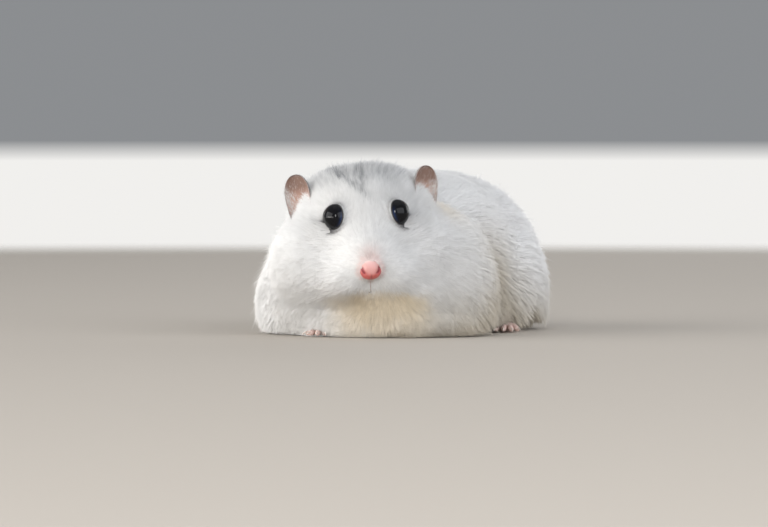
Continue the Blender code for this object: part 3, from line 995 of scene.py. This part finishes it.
def ear_points(side, across, along, lift):
    """Places on an ear, in the part's frame.

    across runs from -1 to 1 over its breadth, along from 0 at the root to 1 at the tip, and lift is the
    height in millimetres over its middle sheet, towards the back. The leaf's breadth is half at the root,
    swells by a sine to its widest, and closes from there as a superellipse; its edges curl forwards, and
    it faces forwards and out.
    """
    ear = option("ear")
    widest, power, curve = 0.66, 2.1, 1.25
    into_tip = np.clip((along - widest) / (1.0 - widest), 0.0, 1.0)
    swell = 0.5 + 0.5 * np.sin(math.pi / 2.0 * np.clip(along / widest, 0.0, 1.0))
    half = ear.half_width * MM_PER_M * swell * np.maximum((1.0 - into_tip**power) ** (1.0 / power), 0.03)
    curl = ear.cup * MM_PER_M * (1.5 - 1.1 * along) * (0.5 - across**2) + lift
    height = ear.height * MM_PER_M * along + 0.0 * across
    local = np.stack((half * np.sin(curve * across) / math.sin(curve), curl, height), axis=-1)
    lean, turn = side * ear.lean, side * ear.turn
    leaning = np.array(((math.cos(lean), 0, math.sin(lean)), (0, 1, 0), (-math.sin(lean), 0, math.cos(lean))))
    turning = np.array(((math.cos(turn), -math.sin(turn), 0), (math.sin(turn), math.cos(turn), 0), (0, 0, 1)))
    return ear_root(side) + HEAD.turned(local @ (leaning @ turning).T)


def ear(skin, side):
    """A thin leaf: a flat loop, down its hollow and up its back, carried from root to tip.

    Two folds rise in the hollow as bell curves, with fine ridges between them and a pit, all fading to
    the tip.
    """
    look = option("ear")
    columns, rows = 64, 48
    turn, along = np.meshgrid(circle(columns), np.linspace(-0.12, 1.0, rows))
    along = np.where(along < 0.0, along, np.sin(math.pi / 2.0 * along))
    across, back = np.cos(turn), np.sin(turn)
    outer = across * side
    thin = 1.0 - 0.45 * np.clip(along, 0.0, 1.0)
    thick = look.wall * (MM_PER_M / 2.0) * thin * np.sign(back) * np.abs(back) ** 0.5
    inner = np.clip(-back, 0.0, 1.0)
    fold = 0.6 * hump(0.5, 0.15, outer) * ramp(0.55, 0.1, along)
    fold = fold + 0.5 * hump(-0.55, 0.17, outer) * ramp(0.45, 0.05, along)
    ridges = 0.07 * np.sin(26.0 * along + 3.0 * across) * hump(0.15, 0.4, outer) * hump(0.5, 0.2, along)
    pit = 0.55 * hump(-0.2, 0.35, outer) * hump(0.38, 0.22, along)
    points = ear_points(side, across, np.clip(along, 0.0, 1.0), thick + inner * (pit + ridges - fold))
    sink = np.clip(-along, 0.0, 1.0)[..., None] * look.height * MM_PER_M
    points = points - HEAD.turned(UP) * sink
    ends = np.stack((points[0].mean(0), points[-1].mean(0)))
    rim = np.maximum(ramp(0.8, 0.98, np.abs(across)), ramp(0.95, 0.99, along))
    deep = 0.85 * hump(0.42, 0.24, along) * hump(-0.25, 0.42, outer)
    hollow = mix(look.skin, look.deep, deep.ravel())
    hollow = mix(hollow, look.top, (0.92 * ramp(0.5, 0.82, along)).ravel())
    colour = mix(look.outside, hollow, ramp(0.1, 0.5, inner).ravel())
    colour = mix(colour, look.edge, (0.7 * rim).ravel())
    colours = np.concatenate((colour, np.tile(look.skin, (2, 1))))
    skin.add(np.concatenate((points.reshape(-1, 3), ends)), colours, *tube_faces(rows, columns, flip=True))


def foot_places():
    """Each foot: its side, the middle of its sole, its turn, number of toes, reach, spread and size.

    The left forepaw is drawn in further under the chest.
    """
    foot = option("foot")
    for side in SIDES.values():
        fore = np.array((side * foot.fore_apart, foot.fore_at + 0.0025 * (side > 0), 0.0)) * MM_PER_M
        hind = np.array((side * foot.hind_apart, foot.hind_at, 0.0)) * MM_PER_M
        yield side, fore, 6.0, 4, 3.4, 33.0, 1.0
        yield side, hind, 14.0, 5, 5.6, 30.0, 1.15


def tube(surface, colour, path, widths, heights, columns):
    """Adds a closed tube along a path, its height upwards."""
    surface.add(swept(path, widths, heights, UP, columns), colour, *tube_faces(len(path), columns))


def feet(skin, claws):
    """Pads, toes and claws: soft tubes over the floor, each toe a bent finger with two joints and a claw.

    A pad's breadth closes as a superellipse of power 4. A toe arches by a sine, its joints are bell
    curves, and a claw sinks by a power of 1.6 as it thins to nothing.
    """
    foot = option("foot")
    step, bone, claw = (np.linspace(0.0, 1.0, count) for count in (14, 22, 9))
    bulge = np.sqrt(np.clip(1.0 - (2.0 * step - 1.0) ** 4, 0.0, 1.0))
    joints = 1.0 + 0.13 * hump(0.35, 0.1, bone) + 0.16 * hump(0.8, 0.12, bone)
    taper = np.sqrt(np.clip(1.0 - bone**9, 0.0, 1.0)) * np.sqrt(np.clip(bone * 12.0, 0.0, 1.0))
    half = 0.56 * joints * (1.0 - 0.12 * bone) * taper + 0.01
    arch = 0.72 + 0.55 * np.sin(math.pi * np.clip(bone * 1.15, 0, 1)) * (1 - 0.35 * bone)
    hook = 0.22 + 0.12 * np.sin(math.pi * claw) - 0.5 * claw**1.6
    thin = 0.2 * np.sqrt(1.0 - claw**1.4 * 0.985)
    for side, at, turn, count, reach, spread, size in foot_places():
        turn = math.radians(side * turn)
        ahead = np.array((math.sin(turn), -math.cos(turn), 0.0))
        path = at + ahead * (-5.0 + 7.4 * step)[:, None] + UP * (1.35 - 0.35 * step)[:, None]
        tube(skin, foot.skin, path, 2.1 * size * bulge + 0.02, 1.05 * bulge + 0.02, 20)
        for angle in np.linspace(-spread, spread, count):
            around = turn + math.radians(angle)
            heading = np.array((math.sin(around), -math.cos(around), 0.0))
            out = reach - 0.7 * (angle / spread) ** 2
            path = at + heading * ((out - 2.2) + 3.4 * bone)[:, None]
            path[:, 2] = arch
            tube(skin, foot.skin, path, half, half * 0.95, 14)
            nail = path[-3] + heading * (1.25 * claw)[:, None]
            nail[:, 2] = path[-3, 2] + hook
            tube(claws, foot.claw, nail, thin * 0.8, thin, 8)


# Nose, eyes and whiskers


def nose_mesh():
    """A rounded pad, narrow above and broad below, with a curled nostril on each side and a cleft beneath.

    A half dome over the pad's outline, forward by the square root of 1 - r^2.4, with bell-shaped hollows
    pressed in: a comma at each side that sweeps down and inwards, and a line under the middle.
    """
    face = option("face")
    columns, rows = 112, 56
    turn = circle(columns)[None]
    radius = np.linspace(0.02, 1.0, rows)[:, None]
    low = np.sin(turn)
    edge = NOSE_WIDEST + np.where(low > 0, NOSE_TOP - NOSE_WIDEST, NOSE_WIDEST - NOSE_BOTTOM) * low
    x = radius * np.sign(np.cos(turn)) * nose_breadth(edge)
    z = NOSE_WIDEST + radius * (edge - NOSE_WIDEST)
    dome = 1.7 * np.sqrt(np.clip(1.0 - 0.97 * radius**2.4, 0.0, 1.0)) - 0.6 * ramp(0.5, 2.6, z)
    comma = np.abs(x) - 1.68 + 0.42 * np.clip(0.1 - z, 0.0, 2.0) ** 1.6
    nostril = hump(0.0, 0.26, comma) * ramp(0.6, 0.2, z) * ramp(-1.25, -0.6, z)
    cleft = hump(0.0, 0.15, x) * ramp(-0.9, -1.6, z)
    wing = hump(0.0, 0.5, np.abs(x) - 1.0) * hump(0.35, 0.7, z)
    y = -dome + 0.5 * nostril + 0.25 * cleft - 0.12 * wing
    front = np.stack((x, y, z), axis=-1)
    rim = front[-1] * (0.86, 1.0, 0.86) + (0.0, 1.5, 0.0)
    ends = ((0.0, y[0].mean(), NOSE_WIDEST), (0.0, 1.4, NOSE_WIDEST))
    places = np.concatenate((front.reshape(-1, 3), rim, ends))
    below = 0.8 * ramp(0.25, 0.8, radius) * ramp(0.3, -0.9, z) + 0.35 * ramp(1.0, -0.8, z)
    pale = mix(face.nose, option("coat").white, 0.45)
    colour = mix(face.nose, face.nose_low, np.clip(below, 0.0, 1.0).ravel())
    colour = mix(colour, pale, (0.8 * ramp(0.5, 2.2, z)).ravel())
    # Painted shade in the nostril hollows and, at half strength, in the cleft.
    colour = mix(colour, face.nostril, np.clip(1.15 * nostril + 0.5 * cleft, 0.0, 1.0).ravel())
    colours = np.concatenate((colour, np.tile(face.nose, (columns + 2, 1))))
    pad = Surface()
    pad.add(HEAD.outside(places + HEAD.nose + (0.0, 0.15, 0.0)), colours, *tube_faces(rows + 1, columns))
    return pad.mesh("nose_pad")


def eyeball_mesh(side):
    """A ball in latitude rings that swells by a bell curve along the gaze, as an eye's clear front does.

    It is black, with a painted blue reflection towards the nose.
    """
    middle, gaze, _, _ = eye_frame(side)
    columns, rows = 64, 32
    angle = np.linspace(0.0, math.pi, rows + 2)[1:-1][:, None]
    turn = circle(columns)[None]
    radius = HEAD.eye_radius * (0.985 + 0.035 * hump(0.0, 0.7, angle))[..., None]
    grid = (middle + eye_ray(side, turn, angle) * radius).reshape(-1, 3)
    ends = middle + gaze * radius[0], middle - gaze * radius[-1]
    # Painted reflection: a deep blue on the side towards the nose.
    painted_reflection = hump(0.95, 0.14, angle) * bump(turn, 105.0, 32.0)
    colour = mix((0.005, 0.005, 0.006), option("face").painted_eye_reflection, painted_reflection.ravel())
    colours = np.concatenate((colour, np.full((2, 3), 0.005)))
    ball = Surface()
    ball.add(HEAD.outside(np.concatenate((grid, *ends))), colours, *tube_faces(rows, columns, flip=side < 0))
    return ball.mesh("eyeball")


def whisker_mesh():
    """Long tapering hairs in four rows of four on each side: arcs outwards, back and slightly down."""
    hairs = Surface()
    chance = np.random.default_rng(SEEDS["whiskers"])
    face = option("face")
    step = np.linspace(0.0, 1.0, 12)
    thin = 0.024 * (1.0 - step) + 0.005
    grid = ((side, row, number) for side in SIDES.values() for row in range(4) for number in range(4))
    for side, row, number in grid:
        start = HEAD.nose + (side * (2.6 + 1.0 * number), 1.2 + 0.9 * number, -0.2 - 0.95 * row)
        swing_back = math.radians(8.0 + 9.0 * number + chance.uniform(-5, 5))
        rise = math.radians(24.0 - 13.0 * row + chance.uniform(-6, 6))
        sideways = side * math.cos(swing_back) * math.cos(rise)
        out = np.array((sideways, math.sin(swing_back) - 0.3, math.sin(rise)))
        length = face.whisker_length * MM_PER_M * (0.55 + 0.12 * number + chance.uniform(-0.08, 0.08))
        sag = np.array((0.0, 0.3, -0.12)) * length
        path = start + unit(out) * (length * step)[:, None] + sag * (step**2)[:, None]
        points = HEAD.outside(swept(path, thin, thin, (0.1, 0.2, 1.0), 5))
        points[:, 2] = np.maximum(points[:, 2], 0.08)
        hairs.add(points, face.whisker, *tube_faces(12, 5))
    return hairs.mesh("whiskers")


# What a user may change


def metres(name, description, default):
    """A length in metres."""
    return FloatProperty(name=name, description=description, default=default, unit="LENGTH")


def amount(name, description, default, **kind):
    """A share, a strength or an angle."""
    return FloatProperty(name=name, description=description, default=default, **kind)


def tint(name, description, *default):
    """A linear colour."""
    return FloatVectorProperty(name=name, description=description, default=default, subtype="COLOR")


class HAMSTER_PG_coat(bpy.types.PropertyGroup):
    """Sizes and colours of the coat."""

    body_depth: metres("Body Depth", "Depth of the coat on the trunk", 0.0024)
    face_depth: metres("Face Depth", "Depth of the coat by the nose", 0.00045)
    tuft_width: metres("Tuft Width", "Breadth of a tuft of the trunk", 0.0002)
    fullness: amount("Fullness", "Share of all tufts that grow", 1.0)
    streaks: amount("Streaks", "How much darker some locks are", 0.16)
    white: tint("White", "Main colour", 0.96, 0.955, 0.945)
    cream: tint("Cream", "Bib under the chin", 0.84, 0.69, 0.47)
    # Painted shade, warmed as if by the floor, on the breast, belly and fold.
    shade_beige: tint("Beige", "Breast, belly and fold", 0.60, 0.53, 0.42)
    ticking: tint("Ticking", "Dark hairs of the crown", 0.10, 0.11, 0.13)
    bare: tint("Bare", "Skin that shines through by the nose", 0.72, 0.42, 0.38)
    # Also the colour of the painted shade round the eyes, in their sockets and on the lid fur's tips.
    dark: tint("Dark", "Hair at the lids", 0.05, 0.045, 0.05)
    root_shade: tint("Root Shade", "Darkening at the root", 0.82, 0.81, 0.80)


class HAMSTER_PG_face(bpy.types.PropertyGroup):
    """Colours of nose, lips and lids, and the whiskers."""

    nose: tint("Nose", "Top of the nose pad", 0.64, 0.35, 0.325)
    nose_low: tint("Nose Below", "Lower nose pad", 0.46, 0.10, 0.09)
    # Painted shade inside the nostrils.
    nostril: tint("Nostril", "Inside the nostrils", 0.26, 0.04, 0.05)
    # Painted shade in the groove under the nose.
    slit: tint("Slit", "Line below the nose", 0.50, 0.27, 0.24)
    # Painted shade in the closed mouth.
    lip: tint("Lip", "The mouth", 0.12, 0.045, 0.04)
    lid: tint("Lid", "Edge of the eyelids", 0.012, 0.010, 0.010)
    # Painted reflection of a blue sky, on the side towards the nose.
    painted_eye_reflection: tint("Eye Glow", "Deep in the eye", 0.016, 0.03, 0.08)
    whisker: tint("Whisker", "Whisker colour", 0.75, 0.73, 0.70)
    whisker_length: metres("Whisker Length", "Longest whisker", 0.02)


class HAMSTER_PG_ear(bpy.types.PropertyGroup):
    """Place, size and colours of the ears."""

    reach: metres("Reach", "Root from the middle of the head", 0.012)
    sway: metres("Sway", "Both roots to the left", 0.0003)
    setback: metres("Setback", "Root behind the eyes", 0.0087)
    drop: metres("Drop", "Root above the eyes' level", -0.0026)
    height: metres("Height", "Root to tip", 0.0116)
    half_width: metres("Half Width", "Half the breadth", 0.0027)
    cup: metres("Cup", "Depth of the hollow", 0.0016)
    wall: metres("Wall", "Thickness", 0.00055)
    lean: amount("Lean", "Outwards", math.radians(6.0), subtype="ANGLE")
    turn: amount("Turn", "To the side", math.radians(28.0), subtype="ANGLE")
    skin: tint("Skin", "The hollow", 0.58, 0.36, 0.29)
    deep: tint("Deep", "Deepest part of the hollow", 0.34, 0.18, 0.14)
    top: tint("Top", "Under the upper edge", 0.16, 0.093, 0.069)
    edge: tint("Edge", "The rim", 0.33, 0.25, 0.24)
    outside: tint("Outside", "The back", 0.62, 0.55, 0.52)
    fuzz: tint("Fuzz", "Short fur", 0.80, 0.75, 0.72)
    fuzz_dark: tint("Dark Fuzz", "Darkest short fur", 0.55, 0.50, 0.48)


class HAMSTER_PG_foot(bpy.types.PropertyGroup):
    """Places and colours of the feet."""

    fore_apart: metres("Fore Apart", "Forepaw from the middle", 0.0084)
    fore_at: metres("Fore At", "Forepaw along the body", -0.0270)
    hind_apart: metres("Hind Apart", "Hind foot from the middle", 0.0204)
    hind_at: metres("Hind At", "Hind foot along the body", 0.00517)
    skin: tint("Skin", "Toes and pads", 0.62, 0.45, 0.40)
    claw: tint("Claw", "Claws", 0.70, 0.62, 0.56)


class HAMSTER_PG_stage(bpy.types.PropertyGroup):
    """Floor, lights and camera."""

    floor: tint("Floor", "Pale floor", 0.53, 0.48, 0.42)
    far: tint("Backdrop", "Past the floor", 0.88, 0.87, 0.85)
    lens: amount("Lens", "Focal length", 234.375, unit="CAMERA")
    key: amount("Key Light", "Power that each lamp is a multiple of", 3.0, unit="POWER")
    fill: amount("Fill", "Strength of the light from all round", 0.28)


# One operator for each piece or group of like pieces


class HAMSTER_OT_skin(bpy.types.Operator):
    """Makes the skin with lids, ears and feet, and the claws"""

    bl_idname = "hamster.skin"
    bl_label = "Skin"

    def execute(self, context):
        skin, claws = Surface(), Surface()
        skin.add(*skin_body())
        for side in SIDES.values():
            lid(skin, side)
            ear(skin, side)
        feet(skin, claws)
        finish = grain(material("skin", 0.62), scale=2500.0, height=0.00006)
        piece("skin", skin.mesh("skin"), finish, (*FLESH, *EARS))
        piece("claws", claws.mesh("claws"), material("claw", 0.35))
        return {"FINISHED"}


class HAMSTER_OT_eyes(bpy.types.Operator):
    """Makes both eyeballs, black and wet"""

    bl_idname = "hamster.eyes"
    bl_label = "Eyes"

    def execute(self, context):
        finish = material("eye", 0.03, IOR=1.376, Specular_IOR_Level=0.3)
        for name, side in SIDES.items():
            piece("eyeball_" + name, eyeball_mesh(side), finish, ("eye_" + name,))
        return {"FINISHED"}


class HAMSTER_OT_nose(bpy.types.Operator):
    """Makes the nose pad"""

    bl_idname = "hamster.nose"
    bl_label = "Nose"

    def execute(self, context):
        wet_skin = material("nose", 0.38, Subsurface_Weight=0.15, Subsurface_Scale=0.0006)
        piece("nose_pad", nose_mesh(), grain(wet_skin, scale=5000.0, height=0.00005), ("nose",))
        return {"FINISHED"}


class HAMSTER_OT_whiskers(bpy.types.Operator):
    """Makes the whiskers"""

    bl_idname = "hamster.whiskers"
    bl_label = "Whiskers"

    def execute(self, context):
        piece("whiskers", whisker_mesh(), material("whisker", 0.4))
        return {"FINISHED"}


class HAMSTER_OT_coat(bpy.types.Operator):
    """Grows the coat, one piece for each region of the body"""

    bl_idname = "hamster.coat"
    bl_label = "Coat"

    def execute(self, context):
        finish = material("coat", 0.7, Sheen_Weight=0.25, Sheen_Roughness=0.4)
        tufts = combed()
        region = region_of(tufts.surface, tufts.normals)
        for number, name in enumerate(REGIONS):
            for half, side in enumerate(SIDES):
                here = region == 2 * number + half
                if here.sum() < 3:
                    raise RuntimeError("no tufts for " + name)
                title = f"coat_{name}_{side}"
                piece(title, tufts.some(here).mesh(title, name not in SHORT_REGIONS), finish)
        piece("coat_ears", ear_fuzz().mesh("coat_ears", True), finish)
        piece("coat_lids", lid_fur().mesh("coat_lids", False), finish)
        return {"FINISHED"}


class HAMSTER_OT_stage(bpy.types.Operator):
    """Sets the floor, the lights and the camera"""

    bl_idname = "hamster.stage"
    bl_label = "Stage"

    def execute(self, context):
        stage = context.scene.hamster_stage
        stage_floor(stage)
        stage_lights(stage)
        stage_world(stage)
        stage_camera(stage)
        return {"FINISHED"}


# The stage


def stage_floor(stage):
    """A round floor in rings round the animal that fades out at its rim into the backdrop."""
    rings = np.array((200.0, 400.0, 560.0, 592.0, 624.0, 656.0, 688.0, 720.0))
    columns = 96
    turn = circle(columns)
    ring = np.stack((np.cos(turn), np.sin(turn), np.zeros(columns)), axis=1)
    points = np.concatenate(((ring[None] * rings[:, None, None]).reshape(-1, 3), np.zeros((1, 3))))
    quads, fans = tube_faces(len(rings), columns)
    sheet = Surface()
    sheet.add(points, stage.floor, quads, fans[:columns])
    mesh = sheet.mesh("floor")
    fade = ramp(rings[-1], rings[2], apart(points))
    mesh.attributes.new("fade", "FLOAT", "POINT").data.foreach_set("value", fade.astype(np.float32))
    finish = material("floor", 0.9)
    tree = finish.node_tree
    share = tree.nodes.new("ShaderNodeAttribute")
    share.attribute_name = "fade"
    tree.links.new(share.outputs["Fac"], tree.nodes["Principled BSDF"].inputs["Alpha"])
    mesh.materials.append(finish)
    placed("floor", mesh)


def turned_to(made, place, way):
    """Puts a lamp or a camera at a place, in metres, looking along a direction."""
    made.location = place
    made.rotation_euler = Vector(way).to_track_quat("-Z", "Y").to_euler()
    return made


def stage_lights(stage):
    """Soft windows on both sides, a narrow one in front for the eyes, and lights low, behind and above.

    Each lamp has a place, a size, a power as a multiple of the key and a colour, and looks at the middle
    of the body.
    """
    lamps = {
        "window": ((0.2, -1.15, 0.36), (0.12, 0.34), 1.05, (1.0, 0.99, 0.97)),
        "right_side": ((-0.95, -0.68, 0.38), (1.5, 0.9), 4.3, (1.0, 0.99, 0.98)),
        "left_side": ((1.0, -0.55, 0.5), (1.5, 1.0), 3.8, (0.94, 0.97, 1.02)),
        "bounce": ((-0.8, -1.05, 0.1), (1.4, 0.2), 2.3, (1.0, 0.98, 0.94)),
        "behind": ((0.3, 1.3, 0.3), (1.8, 0.6), 1.7, (1.0, 1.0, 1.0)),
        "top": ((0.0, 0.1, 1.1), (1.0, 1.0), 0.3, (1.0, 1.0, 1.0)),
    }
    body_middle = Vector((0.0, 0.0, 0.015))
    for name, (place, breadths, power, colour) in lamps.items():
        lamp = bpy.data.lights.new(name, "AREA")
        lamp.shape = "RECTANGLE"
        lamp.size, lamp.size_y = breadths
        lamp.energy = stage.key * power
        lamp.color = colour
        turned_to(placed(name, lamp), place, body_middle - Vector(place))


def stage_world(stage):
    """The backdrop: bright just under the horizon, where it shows past the floor, and grey above it."""
    world = bpy.data.worlds.new("studio")
    world.use_nodes = True
    tree = world.node_tree
    way = tree.nodes.new("ShaderNodeTexCoord")
    parts = tree.nodes.new("ShaderNodeSeparateXYZ")
    height = fill_in(tree.nodes.new("ShaderNodeMapRange"), From_Min=-0.0095, From_Max=-0.0055)
    blend = tree.nodes.new("ShaderNodeMix")
    blend.data_type = "RGBA"
    low, high = (socket for socket in blend.inputs if socket.type == "RGBA")
    low.default_value = (*stage.far, 1.0)
    high.default_value = (0.93 * stage.fill, 0.96 * stage.fill, stage.fill, 1.0)
    tree.links.new(way.outputs["Generated"], parts.inputs["Vector"])
    tree.links.new(parts.outputs["Z"], height.inputs["Value"])
    tree.links.new(height.outputs["Result"], blend.inputs["Factor"])
    tree.links.new(blend.outputs["Result"], tree.nodes["Background"].inputs["Color"])
    bpy.context.scene.world = world
    bpy.context.scene.view_settings.view_transform = "Standard"


def stage_camera(stage):
    """A long lens low in front of the animal, a little to its left, level with its back."""
    aside, down = math.radians(18.0), math.radians(1.724)
    from_eyes = Vector((0.3115, -0.94725, 0.0204))
    lens = bpy.data.cameras.new("camera")
    lens.lens = stage.lens
    lens.sensor_width = 36.0
    lens.clip_start = 0.01
    place = Vector(HEAD.origin * M_PER_MM) + from_eyes
    look = (-math.sin(aside), math.cos(aside), -math.tan(down))
    bpy.context.scene.camera = turned_to(placed("camera", lens), place, look)


class HAMSTER_PT_panel(bpy.types.Panel):
    """The hamster's steps and settings, in the sidebar."""

    bl_label = "Winter White Hamster"
    bl_idname = "HAMSTER_PT_panel"
    bl_space_type = "VIEW_3D"
    bl_region_type = "UI"
    bl_category = "Hamster"

    def draw(self, context):
        for step in STEPS:
            self.layout.operator("hamster." + step)
        for name, group in SETTINGS.items():
            box = self.layout.box()
            for key in group.__annotations__:
                box.prop(getattr(context.scene, name), key)


SETTINGS = {
    "hamster_coat": HAMSTER_PG_coat,
    "hamster_face": HAMSTER_PG_face,
    "hamster_ear": HAMSTER_PG_ear,
    "hamster_foot": HAMSTER_PG_foot,
    "hamster_stage": HAMSTER_PG_stage,
}
STEPS = ("skin", "eyes", "nose", "whiskers", "coat", "stage")
CLASSES = (
    *SETTINGS.values(),
    HAMSTER_OT_skin,
    HAMSTER_OT_eyes,
    HAMSTER_OT_nose,
    HAMSTER_OT_whiskers,
    HAMSTER_OT_coat,
    HAMSTER_OT_stage,
    HAMSTER_PT_panel,
)


def register():
    for each in CLASSES:
        bpy.utils.register_class(each)
    for name, group in SETTINGS.items():
        setattr(bpy.types.Scene, name, bpy.props.PointerProperty(type=group))


def unregister():
    for name in SETTINGS:
        delattr(bpy.types.Scene, name)
    for each in reversed(CLASSES):
        bpy.utils.unregister_class(each)


def main():
    register()
    for step in STEPS:
        getattr(bpy.ops.hamster, step)()


if __name__ == "__main__":
    main()
